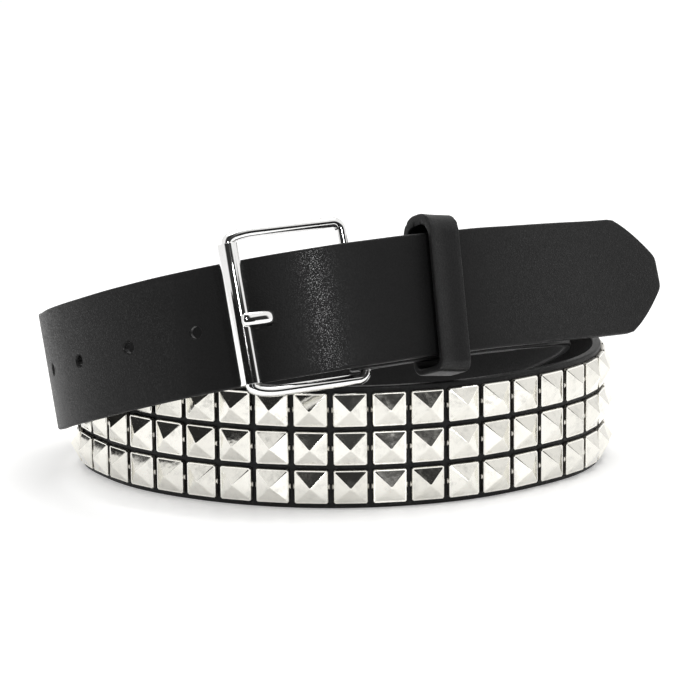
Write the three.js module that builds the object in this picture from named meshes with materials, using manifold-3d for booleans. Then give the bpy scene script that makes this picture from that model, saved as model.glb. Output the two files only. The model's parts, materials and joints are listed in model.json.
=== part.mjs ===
// A studded leather belt, fastened at its tip-most hole and coiled in two turns, standing on its edge.
// Units are millimetres, +Z is up, and +Y points away from the front, where the buckle is.
import * as THREE from 'three';
import { mergeVertices } from 'three/addons/utils/BufferGeometryUtils.js';
import Module from 'manifold-3d';

const wasm = await Module();
wasm.setup();

// The leather strap
const strapWidth = 38;
const strapThickness = 2.8;
const stripStep = 8;
const pointLength = 18.6;
const pointNose = 9;
const noseRound = 1.6;
const pointBelly = 0.16;

// The coil that the strap lies in
const coilWidth = 178;
const coilDepth = 168;
const turnGap = 10;
const leanLeft = 10;
const leanBack = 14.8;
const samplesPerStop = 24;
const directionProbe = 1.5;

// The holes in the free end
const holeCount = 5;
const holePitch = 23.9;
const holeLength = 3.8;
const holeWidth = 3.8;
const fastenedHoleLength = 5.4;
const tipToHole = 159;
const holeSides = 10;

// Where the buckle end lies against the free end
const restGap = 0.7;
const headRoom = 1.4;
const endDrop = 0.6;
const foldLength = 62;
const foldGap = 0.3;
const foldTaper = 7;
const foldStep = 3.5;
const wrapSteps = 9;
const meetingSteps = 6;
const slotLength = 9.8;
const slotSides = 16;
const meetingLength = 42;

// The pyramid studs
const studRows = 3;
const studSize = 10.4;
const studPitch = 12;
const studSkirt = 0.9;
const studPeak = 2.7;
const studGap = 0.4;
const studsFromTip = 311.75;
const studsToBar = 128;
const linkWidth = 2;
const linkThickness = 0.7;
const linkLift = 0.5;
const linkBite = 1;
const tieEvery = 9;

// The buckle frame, a bent wire
const wireDiameter = 3.4;
const barSpacing = 37.7;
const holeToRoller = 9.2;
const gapAboveStrap = 6;
const gapBelowStrap = 1.5;
const barCorner = 2.8;
const rollerCornerLong = 9;
const rollerCornerShort = 2.6;
const cornerSteps = 4;
const wireSides = 8;

// The roller, which turns on the frame
const rollerDiameter = 6.5;
const rollerEndGap = 0.35;
const rollerEdge = 0.35;
const rollerSides = 16;
const runningGap = 0.3;

// The prong
const prongWidth = 4.4;
const prongThickness = 2.4;
const prongEyeWidth = 3.2;
const prongEyeWall = 1.5;
const prongSides = 8;
const prongEyeSides = 16;

// The keeper loop
const keeperLength = 11.8;
const keeperWall = 1.8;
const keeperRoomAbove = 3.8;
const keeperRoomBelow = 3.6;
const keeperPlay = 0.35;
const holeToKeeper = 57.4;
const keeperSlant = 6;
const keeperRoundOutside = 3.8;
const keeperRoundInside = 2;
const keeperArchOutside = 6.3;
const keeperArchInside = 4.5;
const keeperCornerSteps = 3;
const keeperArchSteps = 5;

// The two rivets that hold the fold
const rivetHead = 7;
const rivetHeadThickness = 0.7;
const rivetShank = 3;
const rivetFromKeeper = 11.2;
const rivetSides = 8;

const finishes = {
  leather: new THREE.MeshStandardMaterial({ color: 0x1c1b1b, roughness: 0.62, metalness: 0 }),
  studs: new THREE.MeshStandardMaterial({ color: 0xd9d5c8, roughness: 0.22, metalness: 1 }),
  buckle: new THREE.MeshStandardMaterial({ color: 0xe4e4e2, roughness: 0.12, metalness: 1 }),
  rivet: new THREE.MeshStandardMaterial({ color: 0x9b9b98, roughness: 0.35, metalness: 1 }),
};

// The way that the strap's outer face takes along its lower edge, from the tip to the fold.
// across and deep are shares of the coil's width and depth from its middle, inset is how many turn
// gaps the strap lies inside that place, lift is a share of the strap's width above the surface,
// and lean runs from 0, upright, to 1, leaning as the buckle does.
const way = [
  { across: 0.63, deep: -0.03, inset: 0, lift: 1.085, lean: 1 },
  { across: 0.517, deep: -0.149, inset: 0, lift: 1.124, lean: 1 },
  { across: 0.44, deep: -0.235, inset: 0, lift: 1.163, lean: 1 },
  { across: 0.362, deep: -0.32, inset: 0, lift: 1.197, lean: 1 },
  { across: 0.279, deep: -0.399, inset: 0, lift: 1.224, lean: 1 },
  { across: 0.187, deep: -0.468, inset: 0, lift: 1.229, lean: 1 },
  { across: 0.087, deep: -0.522, inset: 0, lift: 1.21, lean: 1 },
  { across: -0.02, deep: -0.555, inset: 0, lift: 1.16, lean: 1 },
  { across: -0.131, deep: -0.563, inset: 0, lift: 1.079, lean: 1 },
  { across: -0.238, deep: -0.541, inset: 0, lift: 0.966, lean: 1 },
  { across: -0.335, deep: -0.491, inset: 0, lift: 0.826, lean: 1 },
  { across: -0.415, deep: -0.415, inset: 0, lift: 0.671, lean: 1 },
  { across: -0.468, deep: -0.318, inset: 0, lift: 0.529, lean: 1 },
  { across: -0.494, deep: -0.207, inset: 0, lift: 0.4, lean: 1 },
  { across: -0.503, deep: -0.093, inset: 0, lift: 0.318, lean: 0.98 },
  { across: -0.494, deep: 0.03, inset: 0, lift: 0.24, lean: 0.88 },
  { across: -0.446, deep: 0.175, inset: 0, lift: 0.13, lean: 0.65 },
  { across: -0.322, deep: 0.345, inset: 0, lift: 0.03, lean: 0.38 },
  { across: -0.138, deep: 0.462, inset: 0, lift: 0, lean: 0.14 },
  { across: 0.07, deep: 0.497, inset: 0, lift: 0, lean: 0 },
  { across: 0.28, deep: 0.42, inset: 0, lift: 0, lean: 0 },
  { across: 0.437, deep: 0.235, inset: 0, lift: 0, lean: 0 },
  { across: 0.5, deep: -0.01, inset: 0, lift: 0, lean: 0 },
  { across: 0.483, deep: -0.155, inset: 0, lift: 0, lean: 0 },
  { across: 0.437, deep: -0.256, inset: 0, lift: 0, lean: 0 },
  { across: 0.361, deep: -0.345, inset: 0, lift: 0, lean: 0 },
  { across: 0.258, deep: -0.431, inset: 0, lift: 0, lean: 0 },
  { across: 0.134, deep: -0.485, inset: 0, lift: 0, lean: 0 },
  { across: 0, deep: -0.5, inset: 0, lift: 0, lean: 0 },
  { across: -0.132, deep: -0.473, inset: 0, lift: 0, lean: 0 },
  { across: -0.252, deep: -0.409, inset: 0, lift: 0, lean: 0 },
  { across: -0.354, deep: -0.317, inset: 0, lift: 0, lean: 0 },
  { across: -0.421, deep: -0.21, inset: 0, lift: 0, lean: 0 },
  { across: -0.49, deep: -0.085, inset: 0.5, lift: 0, lean: 0 },
  { across: -0.494, deep: 0.05, inset: 1, lift: 0, lean: 0 },
  { across: -0.437, deep: 0.205, inset: 1, lift: 0, lean: 0 },
  { across: -0.315, deep: 0.355, inset: 1, lift: 0, lean: 0 },
  { across: -0.13, deep: 0.468, inset: 1.05, lift: 0, lean: 0.05 },
  { across: 0.085, deep: 0.495, inset: 1.25, lift: 0.07, lean: 0.2 },
  { across: 0.285, deep: 0.415, inset: 1.5, lift: 0.23, lean: 0.45 },
  { across: 0.432, deep: 0.235, inset: 1.4, lift: 0.5, lean: 0.75 },
  { across: 0.492, deep: 0.05, inset: 1.1, lift: 0.78, lean: 0.95 },
  { across: 0.495, deep: -0.12, inset: 1, lift: 1.0, lean: 1 },
  { across: 0.44, deep: -0.21, inset: 0.5, lift: 1.08, lean: 1 },
];

const upright = new THREE.Vector3(0, 0, 1);
const leaning = new THREE.Vector3(
  -Math.sin(THREE.MathUtils.degToRad(leanLeft)) * Math.cos(THREE.MathUtils.degToRad(leanBack)),
  Math.sin(THREE.MathUtils.degToRad(leanBack)),
  Math.cos(THREE.MathUtils.degToRad(leanLeft)) * Math.cos(THREE.MathUtils.degToRad(leanBack)),
);

// Slopes of a smooth curve through points with even bending, one coordinate at a time
function smoothSlopes(knots, values) {
  const last = knots.length - 1;
  const step = (i) => knots[i + 1] - knots[i];
  const rise = (i) => (values[i + 1] - values[i]) / step(i);
  const weight = [2];
  const right = [3 * rise(0)];
  for (let i = 1; i < last; i++) {
    const before = step(i);
    const after = step(i - 1);
    const factor = before / weight[i - 1];
    const above = i === 1 ? 1 : step(i - 2);
    weight.push(2 * (before + after) - factor * above);
    right.push(3 * (before * rise(i - 1) + after * rise(i)) - factor * right[i - 1]);
  }
  const endFactor = 1 / weight[last - 1];
  weight.push(2 - endFactor * step(last - 2));
  right.push(3 * rise(last - 1) - endFactor * right[last - 1]);
  const slopes = new Array(last + 1);
  slopes[last] = right[last] / weight[last];
  for (let i = last - 1; i >= 0; i--) {
    const above = i === 0 ? 1 : step(i - 1);
    slopes[i] = (right[i] - above * slopes[i + 1]) / weight[i];
  }
  return slopes;
}

// Slopes of a curve that never swings past its points, for the lift and the lean
function calmSlopes(knots, values) {
  const last = knots.length - 1;
  const rise = (i) => (values[i + 1] - values[i]) / (knots[i + 1] - knots[i]);
  return values.map((value, i) => {
    if (i === 0) return rise(0);
    if (i === last) return rise(last - 1);
    const before = rise(i - 1);
    const after = rise(i);
    return before * after <= 0 ? 0 : (2 * before * after) / (before + after);
  });
}

function curveAt(knots, values, slopes, k, share) {
  const span = knots[k + 1] - knots[k];
  const a = share * share * (3 - 2 * share);
  const b = share * (1 - share) * (1 - share);
  const c = share * share * (share - 1);
  return values[k] * (1 - a) + values[k + 1] * a + span * (b * slopes[k] + c * slopes[k + 1]);
}

// A route that gives the place and directions of the strap's outer lower edge at any distance along it
function makeRoute(stops) {
  const knots = [0];
  for (let i = 1; i < stops.length; i++) {
    knots.push(knots[i - 1] + stops[i].place.distanceTo(stops[i - 1].place));
  }
  const columns = [
    stops.map((stop) => stop.place.x),
    stops.map((stop) => stop.place.y),
    stops.map((stop) => stop.place.z),
    stops.map((stop) => stop.lean),
  ];
  const slopes = columns.map((values, n) => (n < 2 ? smoothSlopes : calmSlopes)(knots, values));
  const samples = [];
  for (let k = 0; k < stops.length - 1; k++) {
    for (let j = 0; j < samplesPerStop; j++) {
      const share = j / samplesPerStop;
      samples.push(columns.map((values, n) => curveAt(knots, values, slopes[n], k, share)));
    }
  }
  samples.push(columns.map((values) => values[values.length - 1]));
  const distances = [0];
  for (let i = 1; i < samples.length; i++) {
    const move = Math.hypot(...[0, 1, 2].map((n) => samples[i][n] - samples[i - 1][n]));
    distances.push(distances[i - 1] + move);
  }
  const length = distances[distances.length - 1];

  function valuesAt(distance) {
    const wanted = THREE.MathUtils.clamp(distance, 0, length);
    let low = 0;
    let high = samples.length - 1;
    while (high - low > 1) {
      const middle = (low + high) >> 1;
      if (distances[middle] > wanted) high = middle;
      else low = middle;
    }
    const share = (wanted - distances[low]) / (distances[high] - distances[low]);
    return samples[low].map((value, n) => value + (samples[high][n] - value) * share);
  }

  function at(distance) {
    const [x, y, z, lean] = valuesAt(distance);
    const from = valuesAt(distance - directionProbe);
    const to = valuesAt(distance + directionProbe);
    const along = new THREE.Vector3(to[0] - from[0], to[1] - from[1], to[2] - from[2]).normalize();
    const up = upright.clone().lerp(leaning, lean);
    up.addScaledVector(along, -up.dot(along)).normalize();
    return { place: new THREE.Vector3(x, y, z), along, up, out: up.clone().cross(along) };
  }
  return { at, length };
}

function stopsFromWay() {
  return way.map(({ across, deep, inset, lift, lean }) => {
    const flat = new THREE.Vector2(across * coilWidth, deep * coilDepth);
    const toMiddle = flat.clone().normalize().multiplyScalar(inset * turnGap);
    flat.sub(toMiddle);
    return { place: new THREE.Vector3(flat.x, flat.y, lift * strapWidth), lean };
  });
}

// The free end comes first, because the buckle end is laid against it
const coilStops = stopsFromWay();
const freeEnd = makeRoute(coilStops);
const holeAt = tipToHole;
const barAt = tipToHole - (barSpacing - holeToRoller);
const rollerAt = tipToHole + holeToRoller;
const keeperAt = tipToHole - holeToKeeper;
const rivetsAt = [keeperAt + rivetFromKeeper, keeperAt - rivetFromKeeper];

const barToFace = strapThickness + restGap + strapThickness + runningGap + wireDiameter / 2;
const wrapRadius = wireDiameter / 2 + runningGap + strapThickness;

// A place behind the free end, lowered as the buckle end hangs
function behindFreeEnd(distance, depth) {
  const { place, up, out } = freeEnd.at(distance);
  return place.clone().addScaledVector(out, -depth).addScaledVector(up, -endDrop);
}

// From the bar to the first rivet the buckle end moves back to make room for the rivets' heads
function frontDepth(fromBar) {
  const share = THREE.MathUtils.smoothstep(fromBar, 0, foldTaper);
  return strapThickness + THREE.MathUtils.lerp(restGap, headRoom, share);
}

function backDepth(fromBar) {
  const atBar = 2 * wrapRadius - strapThickness;
  const share = THREE.MathUtils.smoothstep(fromBar, 0, foldTaper);
  return frontDepth(fromBar) + THREE.MathUtils.lerp(atBar, strapThickness + foldGap, share) + strapThickness;
}

const meetingStops = [];
for (let i = meetingSteps; i >= 0; i--) {
  const fromBar = (meetingLength * i) / meetingSteps;
  meetingStops.push({ place: behindFreeEnd(barAt - fromBar, frontDepth(fromBar)), lean: 1 });
}
const mainRoute = makeRoute([...coilStops, ...meetingStops]);
const barFrame = freeEnd.at(barAt);
const barCentre = barFrame.place.clone().addScaledVector(barFrame.out, -barToFace);

// A closed solid through rings of points that run the same way round
function loft(rings) {
  const count = rings[0].length;
  const positions = rings.flat().flatMap((point) => [point.x, point.y, point.z]);
  const triangles = [];
  for (let i = 0; i < rings.length - 1; i++) {
    for (let j = 0; j < count; j++) {
      const next = (j + 1) % count;
      const a = i * count + j;
      const b = i * count + next;
      triangles.push(a, b, a + count, b, b + count, a + count);
    }
  }
  const end = (rings.length - 1) * count;
  for (let j = 1; j < count - 1; j++) {
    triangles.push(0, j + 1, j);
    triangles.push(end, end + j, end + j + 1);
  }
  const geometry = new THREE.BufferGeometry();
  geometry.setAttribute('position', new THREE.Float32BufferAttribute(positions, 3));
  geometry.setIndex(triangles);
  return geometry;
}

// A ring-shaped solid whose last ring meets its first
function closedLoft(rings) {
  const count = rings[0].length;
  const positions = rings.flat().flatMap((point) => [point.x, point.y, point.z]);
  const triangles = [];
  for (let i = 0; i < rings.length; i++) {
    const after = (i + 1) % rings.length;
    for (let j = 0; j < count; j++) {
      const next = (j + 1) % count;
      const a = i * count + j;
      const b = i * count + next;
      const c = after * count + j;
      const d = after * count + next;
      triangles.push(a, b, c, b, d, c);
    }
  }
  const geometry = new THREE.BufferGeometry();
  geometry.setAttribute('position', new THREE.Float32BufferAttribute(positions, 3));
  geometry.setIndex(triangles);
  return geometry;
}

function toSolid(geometry) {
  const bare = new THREE.BufferGeometry();
  bare.setAttribute('position', geometry.getAttribute('position').clone());
  if (geometry.index) bare.setIndex(geometry.index.clone());
  const merged = mergeVertices(bare, 1e-4);
  return new wasm.Manifold(new wasm.Mesh({
    numProp: 3,
    vertProperties: new Float32Array(merged.getAttribute('position').array),
    triVerts: new Uint32Array(merged.index.array),
  }));
}

function toGeometry(solid) {
  const mesh = solid.getMesh();
  const geometry = new THREE.BufferGeometry();
  geometry.setAttribute('position', new THREE.Float32BufferAttribute(mesh.vertProperties, 3));
  geometry.setIndex(new THREE.Uint32BufferAttribute(mesh.triVerts, 1));
  return geometry;
}

function placed(geometry, place, along, out, up) {
  const matrix = new THREE.Matrix4().makeBasis(along, out, up).setPosition(place);
  return geometry.applyMatrix4(matrix);
}

function oval(length, width, sides) {
  const points = [];
  for (let i = 0; i < sides; i++) {
    const turn = (i / sides) * 2 * Math.PI;
    points.push(new THREE.Vector2((length / 2) * Math.cos(turn), (width / 2) * Math.sin(turn)));
  }
  return new THREE.Shape(points);
}

// A straight pin of the given outline along the local Y axis, from one depth to another
function pinAlongOut(shape, from, to) {
  const geometry = new THREE.ExtrudeGeometry(shape, { depth: to - from, bevelEnabled: false });
  return geometry.rotateX(Math.PI / 2).translate(0, to, 0);
}

// How far the two slanting edges of the pointed tip have come in at a distance from its nose
function pointInset(distance) {
  if (distance >= pointLength) return 0;
  const share = 1 - distance / pointLength;
  const straight = ((strapWidth - pointNose) / 2) * share;
  return straight - pointBelly * strapWidth * share * (1 - share);
}

function strapRing({ place, up, out }, low, high) {
  const outerLow = place.clone().addScaledVector(up, low);
  const outerHigh = place.clone().addScaledVector(up, high);
  const innerLow = outerLow.clone().addScaledVector(out, -strapThickness);
  const innerHigh = outerHigh.clone().addScaledVector(out, -strapThickness);
  return [outerLow, outerHigh, innerHigh, innerLow];
}

function makeStrap() {
  const rings = [];
  const noseInset = pointInset(0) + noseRound;
  rings.push(strapRing(mainRoute.at(0), noseInset, strapWidth - noseInset));
  for (const share of [0.06, 0.25, 0.5, 0.75, 1]) {
    const distance = share * pointLength;
    const inset = pointInset(distance);
    rings.push(strapRing(mainRoute.at(distance), inset, strapWidth - inset));
  }
  const straight = mainRoute.length - pointLength;
  const steps = Math.ceil(straight / stripStep);
  for (let i = 1; i <= steps; i++) {
    rings.push(strapRing(mainRoute.at(pointLength + (straight * i) / steps), 0, strapWidth));
  }
  const { along, up, out } = barFrame;
  const wrapMiddle = barCentre.clone().addScaledVector(up, -endDrop);
  for (let i = 1; i <= wrapSteps; i++) {
    const turn = (i / wrapSteps) * Math.PI;
    const outward = out.clone().multiplyScalar(Math.cos(turn)).addScaledVector(along, Math.sin(turn));
    const place = wrapMiddle.clone().addScaledVector(outward, wrapRadius);
    rings.push(strapRing({ place, up, out: outward }, 0, strapWidth));
  }
  const foldSteps = Math.ceil(foldLength / foldStep);
  for (let i = 1; i <= foldSteps; i++) {
    const fromBar = (foldLength * i) / foldSteps;
    const place = behindFreeEnd(barAt - fromBar, backDepth(fromBar));
    const inward = freeEnd.at(barAt - fromBar).out.negate();
    rings.push(strapRing({ place, up, out: inward }, 0, strapWidth));
  }
  let solid = toSolid(loft(rings));

  for (let i = 0; i < holeCount; i++) {
    const spot = mainRoute.at(holeAt + i * holePitch);
    const middle = spot.place.clone().addScaledVector(spot.up, strapWidth / 2);
    const length = i === 0 ? fastenedHoleLength : holeLength;
    const cutter = pinAlongOut(oval(length, holeWidth, holeSides), -strapThickness - 1, 1);
    solid = solid.subtract(toSolid(placed(cutter, middle, spot.along, spot.out, spot.up)));
  }

  const slotWidth = prongEyeWidth + 2 * runningGap;
  const slotReach = wrapRadius + restGap / 2;
  const slotMiddle = barCentre.clone().addScaledVector(up, strapWidth / 2);
  const disc = new THREE.CylinderGeometry(slotReach, slotReach, slotWidth, slotSides).rotateX(Math.PI / 2);
  const mouth = new THREE.BoxGeometry(slotLength, slotReach * 2, slotWidth).translate(-slotLength / 2, 0, 0);
  solid = solid.subtract(toSolid(placed(disc, slotMiddle, along, out, up)));
  solid = solid.subtract(toSolid(placed(mouth, slotMiddle, along, out, up)));

  for (const rivetAt of rivetsAt) {
    const spot = freeEnd.at(rivetAt);
    const middle = spot.place.clone().addScaledVector(spot.up, strapWidth / 2);
    const wide = rivetShank + 2 * runningGap;
    const from = -backDepth(barAt - rivetAt) - 1;
    const to = -frontDepth(barAt - rivetAt) + runningGap;
    const cutter = pinAlongOut(oval(wide, wide, rivetSides), from, to);
    solid = solid.subtract(toSolid(placed(cutter, middle, spot.along, spot.out, spot.up)));
  }
  return toGeometry(solid);
}

// One stud: a low square skirt under a four-sided pyramid, with its foot at local Y 0
function makeStud() {
  const half = studSize / 2;
  const square = [[-half, half], [half, half], [half, -half], [-half, -half]];
  const foot = square.flatMap(([x, z]) => [x, 0, z]);
  const shoulder = square.flatMap(([x, z]) => [x, studSkirt, z]);
  const apex = [0, studSkirt + studPeak, 0];
  const triangles = [0, 2, 1, 0, 3, 2];
  for (let i = 0; i < 4; i++) {
    const next = (i + 1) % 4;
    triangles.push(i, next, i + 4, next, next + 4, i + 4);
    triangles.push(i + 4, next + 4, 8);
  }
  const geometry = new THREE.BufferGeometry();
  geometry.setAttribute('position', new THREE.Float32BufferAttribute([...foot, ...shoulder, ...apex], 3));
  geometry.setIndex(triangles);
  return geometry;
}

function makeStudField() {
  const room = mainRoute.length - studsToBar - studsFromTip;
  const columns = Math.floor(room / studPitch);
  const pieces = [];
  const spots = [];
  for (let column = 0; column < columns; column++) {
    const spot = mainRoute.at(studsFromTip + (column + 0.5) * studPitch);
    const row = [];
    for (let n = 0; n < studRows; n++) {
      const height = strapWidth / 2 + (n - (studRows - 1) / 2) * studPitch;
      const foot = spot.place.clone().addScaledVector(spot.up, height).addScaledVector(spot.out, studGap);
      pieces.push(toSolid(placed(makeStud(), foot, spot.along, spot.out, spot.up)));
      row.push({ foot, out: spot.out });
    }
    spots.push(row);
  }
  const reach = studPitch - studSize + 2 * linkBite;
  const link = (from, to, out) => {
    const middle = from.clone().add(to).multiplyScalar(0.5);
    const direction = to.clone().sub(from).normalize();
    const side = direction.clone().cross(out).normalize();
    const face = side.clone().cross(direction);
    middle.addScaledVector(face, linkLift);
    const section = new THREE.Shape([
      new THREE.Vector2(-linkWidth / 2, 0),
      new THREE.Vector2(linkWidth / 2, 0),
      new THREE.Vector2(0, linkThickness),
    ]);
    const bar = new THREE.ExtrudeGeometry(section, { depth: reach, bevelEnabled: false });
    bar.translate(0, 0, -reach / 2);
    pieces.push(toSolid(placed(bar, middle, side, face, direction.negate())));
  };
  for (let column = 0; column < columns; column++) {
    for (let n = 0; n < studRows; n++) {
      const here = spots[column][n];
      if (column + 1 < columns) link(here.foot, spots[column + 1][n].foot, here.out);
      if (n + 1 < studRows && column % tieEvery === 0) link(here.foot, spots[column][n + 1].foot, here.out);
    }
  }
  return toGeometry(wasm.Manifold.union(pieces));
}

// The buckle's own frame: its origin on the bar at mid width, +X to the roller, +Y outward, +Z up the width
function buckleBasis() {
  const roller = freeEnd.at(rollerAt);
  const faceGap = rollerDiameter / 2 + runningGap;
  const rollerCentre = roller.place.clone().addScaledVector(roller.out, faceGap);
  const toRoller = rollerCentre.sub(barCentre);
  const up = barFrame.up.clone();
  toRoller.addScaledVector(up, -toRoller.dot(up));
  const span = toRoller.length();
  toRoller.normalize();
  const out = up.clone().cross(toRoller);
  const origin = barCentre.clone().addScaledVector(up, strapWidth / 2);
  return { origin, along: toRoller, out, up, span };
}
const buckle = buckleBasis();

const frameHigh = strapWidth / 2 + gapAboveStrap + wireDiameter / 2;
const frameLow = -strapWidth / 2 - gapBelowStrap - wireDiameter / 2;

function makeFrame() {
  const middleLine = [];
  const corner = (x, z, long, short, from) => {
    for (let i = 0; i <= cornerSteps; i++) {
      const turn = THREE.MathUtils.degToRad(from + (90 * i) / cornerSteps);
      middleLine.push(new THREE.Vector3(x + long * Math.cos(turn), 0, z + short * Math.sin(turn)));
    }
  };
  const cornerAt = buckle.span - rollerCornerLong;
  corner(cornerAt, frameHigh - rollerCornerShort, rollerCornerLong, rollerCornerShort, 0);
  corner(barCorner, frameHigh - barCorner, barCorner, barCorner, 90);
  corner(barCorner, frameLow + barCorner, barCorner, barCorner, 180);
  corner(cornerAt, frameLow + rollerCornerShort, rollerCornerLong, rollerCornerShort, 270);
  const rings = middleLine.map((point, i) => {
    const before = middleLine[(i + middleLine.length - 1) % middleLine.length];
    const after = middleLine[(i + 1) % middleLine.length];
    const direction = after.clone().sub(before).normalize();
    const side = new THREE.Vector3(direction.z, 0, -direction.x);
    const ring = [];
    for (let j = 0; j < wireSides; j++) {
      const turn = (j / wireSides) * 2 * Math.PI;
      const spoke = side.clone().multiplyScalar(Math.cos(turn)).setY(Math.sin(turn));
      ring.push(point.clone().addScaledVector(spoke, wireDiameter / 2));
    }
    return ring;
  });
  return closedLoft(rings);
}

function makeRoller() {
  const inner = wireDiameter / 2 + runningGap;
  const outer = rollerDiameter / 2;
  const top = frameHigh - rollerCornerShort - rollerEndGap;
  const bottom = frameLow + rollerCornerShort + rollerEndGap;
  const profile = [
    new THREE.Vector2(inner, bottom),
    new THREE.Vector2(outer - rollerEdge, bottom),
    new THREE.Vector2(outer, bottom + rollerEdge),
    new THREE.Vector2(outer, top - rollerEdge),
    new THREE.Vector2(outer - rollerEdge, top),
    new THREE.Vector2(inner, top),
    new THREE.Vector2(inner, bottom),
  ];
  return new THREE.LatheGeometry(profile, rollerSides).rotateX(Math.PI / 2).translate(buckle.span, 0, 0);
}

// Sections of the prong from its eye on the bar to its tip on the roller: run is a share of the
// distance from bar to roller, rise is the middle's height above the bar in prong thicknesses
const prongSections = [
  { run: 0.06, rise: -0.15, width: 0.68, thick: 0.9 },
  { run: 0.3, rise: -0.45, width: 0.68, thick: 0.9 },
  { run: 0.55, rise: -0.66, width: 0.64, thick: 0.9 },
  { run: 0.645, rise: -0.84, width: 0.6, thick: 0.88 },
  { run: 0.7, rise: -0.88, width: 0.6, thick: 0.88 },
  { run: 0.752, rise: 0.1, width: 0.6, thick: 0.88 },
  { run: 0.79, rise: 1, width: 0.72, thick: 0.93 },
  { run: 0.825, rise: 1.46, width: 1, thick: 1 },
  { run: 0.9, rise: 1.84, width: 1, thick: 1 },
  { run: 1.0, rise: 1.98, width: 0.96, thick: 0.95 },
  { run: 1.035, rise: 1.9, width: 0.55, thick: 0.5 },
];

function makeProng() {
  const middles = prongSections.map(({ run, rise }) => (
    new THREE.Vector3(run * buckle.span, rise * prongThickness, 0)
  ));
  const rings = prongSections.map(({ width, thick }, i) => {
    const before = middles[Math.max(i - 1, 0)];
    const after = middles[Math.min(i + 1, middles.length - 1)];
    const direction = after.clone().sub(before).normalize();
    const normal = new THREE.Vector3(-direction.y, direction.x, 0);
    const ring = [];
    for (let j = 0; j < prongSides; j++) {
      const turn = ((j + 0.5) / prongSides) * 2 * Math.PI;
      const across = (-Math.cos(turn) * width * prongWidth) / 2;
      const high = (Math.sin(turn) * thick * prongThickness) / 2;
      ring.push(middles[i].clone().addScaledVector(normal, high).add(new THREE.Vector3(0, 0, across)));
    }
    return ring;
  });
  const bar = toSolid(loft(rings));
  const inner = wireDiameter / 2 + runningGap;
  const outer = inner + prongEyeWall;
  const eyeShape = oval(2 * outer, 2 * outer, prongEyeSides);
  eyeShape.holes.push(oval(2 * inner, 2 * inner, prongEyeSides));
  const eye = new THREE.ExtrudeGeometry(eyeShape, { depth: prongEyeWidth, bevelEnabled: false });
  eye.translate(0, 0, -prongEyeWidth / 2);
  const bore = new THREE.CylinderGeometry(inner, inner, prongWidth * 2, prongEyeSides).rotateX(Math.PI / 2);
  return toGeometry(bar.subtract(toSolid(bore)).add(toSolid(eye)));
}

function makeKeeper() {
  const back = backDepth(barAt - keeperAt) + keeperPlay;
  const outlineAt = (grow, round, arch) => {
    const left = -back - grow;
    const right = keeperPlay + grow;
    const low = -strapWidth / 2 - keeperRoomBelow - grow;
    const high = strapWidth / 2 + keeperRoomAbove + grow;
    const outline = [];
    const corner = (x, z, radius, from, steps) => {
      for (let i = 0; i <= steps; i++) {
        const turn = THREE.MathUtils.degToRad(from + (90 * i) / steps);
        outline.push(new THREE.Vector2(x + radius * Math.cos(turn), z + radius * Math.sin(turn)));
      }
    };
    corner(right - arch, high - arch, arch, 0, keeperArchSteps);
    corner(left + arch, high - arch, arch, 90, keeperArchSteps);
    corner(left + round, low + round, round, 180, keeperCornerSteps);
    corner(right - round, low + round, round, 270, keeperCornerSteps);
    return outline;
  };
  const shape = new THREE.Shape(outlineAt(keeperWall, keeperRoundOutside, keeperArchOutside));
  shape.holes.push(new THREE.Path(outlineAt(0, keeperRoundInside, keeperArchInside)));
  const geometry = new THREE.ExtrudeGeometry(shape, { depth: keeperLength, bevelEnabled: false });
  geometry.translate(0, 0, -keeperLength / 2);
  return geometry.rotateX(Math.PI / 2).rotateZ(Math.PI / 2);
}

function makeRivet(rivetAt) {
  const front = -frontDepth(barAt - rivetAt) + runningGap / 2;
  const back = -backDepth(barAt - rivetAt) - runningGap / 2;
  const profile = [
    new THREE.Vector2(0, back - rivetHeadThickness),
    new THREE.Vector2(rivetHead / 2, back - rivetHeadThickness),
    new THREE.Vector2(rivetHead / 2, back),
    new THREE.Vector2(rivetShank / 2, back),
    new THREE.Vector2(rivetShank / 2, front),
    new THREE.Vector2(rivetHead / 2, front),
    new THREE.Vector2(rivetHead / 2, front + rivetHeadThickness),
    new THREE.Vector2(0, front + rivetHeadThickness),
  ];
  return new THREE.LatheGeometry(profile, rivetSides);
}

function named(name, geometry, material) {
  const mesh = new THREE.Mesh(geometry, material);
  mesh.name = name;
  return mesh;
}

function groupAt(place, along, out, up) {
  const group = new THREE.Group();
  group.position.copy(place);
  group.quaternion.setFromRotationMatrix(new THREE.Matrix4().makeBasis(along, out, up));
  return group;
}

function spotGroup(distance) {
  const spot = freeEnd.at(distance);
  const middle = spot.place.clone().addScaledVector(spot.up, strapWidth / 2);
  return groupAt(middle, spot.along, spot.out, spot.up);
}

const belt = new THREE.Group();
belt.add(named('strap', makeStrap(), finishes.leather));
belt.add(named('stud_field', makeStudField(), finishes.studs));

const buckleGroup = groupAt(buckle.origin, buckle.along, buckle.out, buckle.up);
buckleGroup.add(named('buckle_frame', makeFrame(), finishes.buckle));
buckleGroup.add(named('buckle_roller', makeRoller(), finishes.buckle));
buckleGroup.add(named('buckle_prong', makeProng(), finishes.buckle));
belt.add(buckleGroup);

const keeperGroup = spotGroup(keeperAt);
keeperGroup.rotateY(-THREE.MathUtils.degToRad(keeperSlant));
keeperGroup.add(named('keeper_loop', makeKeeper(), finishes.leather));
belt.add(keeperGroup);

rivetsAt.forEach((rivetAt, i) => {
  const rivetGroup = spotGroup(rivetAt);
  rivetGroup.add(named(`fold_rivet_${i + 1}`, makeRivet(rivetAt), finishes.rivet));
  belt.add(rivetGroup);
});

// The origin is the middle of the belt's box, on the surface that it stands on
belt.updateMatrixWorld(true);
const box = new THREE.Box3().setFromObject(belt, true);
belt.position.set(-(box.min.x + box.max.x) / 2, -(box.min.y + box.max.y) / 2, -box.min.z);

const part = new THREE.Group();
part.add(belt);
export default part;
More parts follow.
